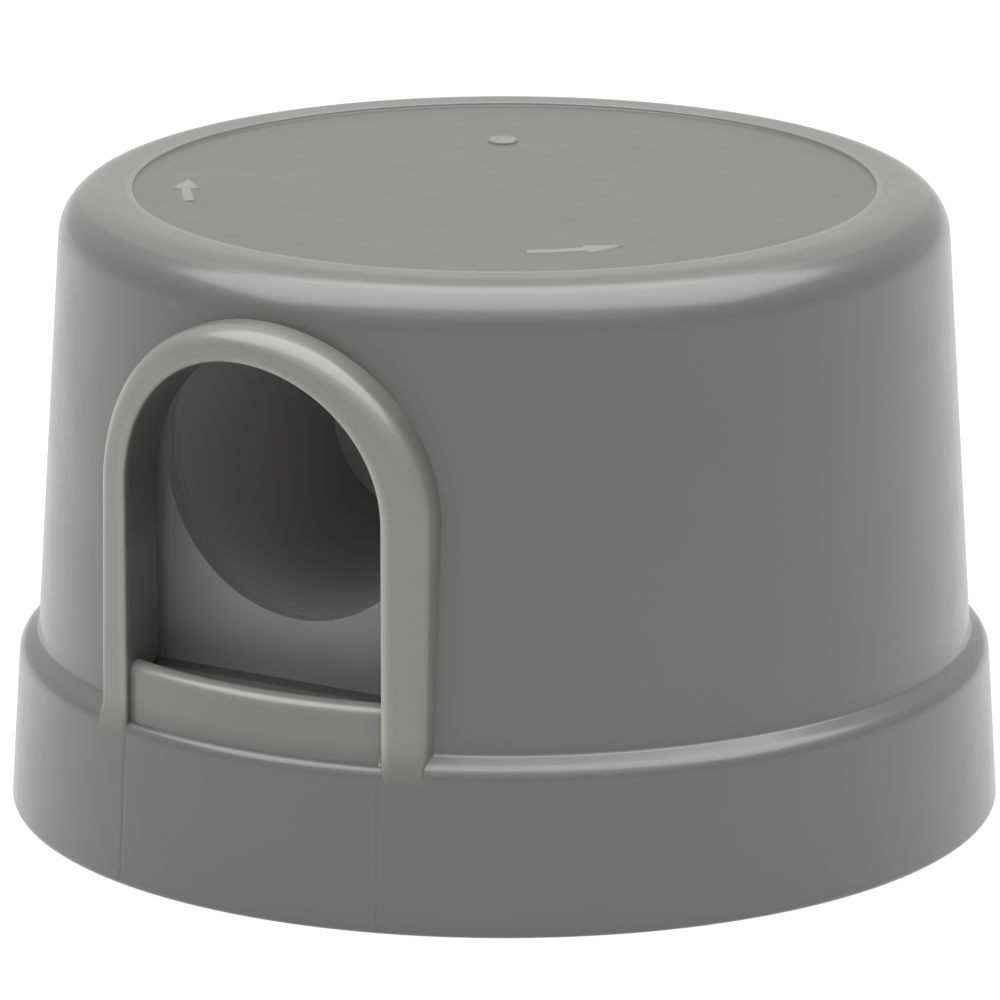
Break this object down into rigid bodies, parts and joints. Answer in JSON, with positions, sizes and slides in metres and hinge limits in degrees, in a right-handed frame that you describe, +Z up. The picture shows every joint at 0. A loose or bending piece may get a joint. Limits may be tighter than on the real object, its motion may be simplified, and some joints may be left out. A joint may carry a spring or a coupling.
{
  "type": "photocell switch",
  "caption": "Twist-lock photocell switch for a street light: drafted round grey cover with an arched light window, deep skirt and locking blades under a gasketed base.",
  "frame": {"origin": "centre of the skirt's rim plane, the lowest plane of the part", "axes": "+Z up along the cover's axis towards the closed top, -Y out through the arched window, +X to the right seen from the window side"},
  "size_m": [0.084, 0.084, 0.053],
  "materials": {
    "cover_plastic": "satin grey moulding",
    "clear_pane": "clear polished sheet",
    "holder_plastic": "satin grey moulding",
    "cell_ceramic": "coated ceramic wafer",
    "base_plastic": "satin black phenolic moulding",
    "gasket_rubber": "matt closed-cell foam rubber",
    "screw_steel": "zinc plated",
    "blade_brass": "stamped sheet brass",
    "rivet_metal": "nickel plated",
    "board_laminate": "green coated laminate",
    "relay_plastic": "smooth blue case",
    "film_plastic": "smooth red case",
    "can_sleeve": "shrink sleeve",
    "varistor_ceramic": "dipped coating",
    "diode_plastic": "moulded black",
    "zener_glass": "clear tinted",
    "resistor_ceramic": "lacquered",
    "solder": "bright solder"
  },
  "bodies": {
    "root": {"cover": "cover_plastic", "window_pane": "clear_pane", "cell_holder": "holder_plastic", "photocell": "cell_ceramic", "base_plate": "base_plastic", "gasket": "gasket_rubber", "base_screws": "screw_steel", "neutral_blade": "blade_brass", "line_blade": "blade_brass", "load_blade": "blade_brass", "blade_rivets": "rivet_metal", "circuit_board": "board_laminate", "board_screws": "screw_steel", "relay": "relay_plastic", "dropper_capacitor": "film_plastic", "smoothing_capacitor": "can_sleeve", "surge_varistor": "varistor_ceramic", "rectifier_diodes": "diode_plastic", "zener_diode": "zener_glass", "resistors": "resistor_ceramic", "transistor": "diode_plastic", "solder_joints": "solder"}
  },
  "joints": []
}
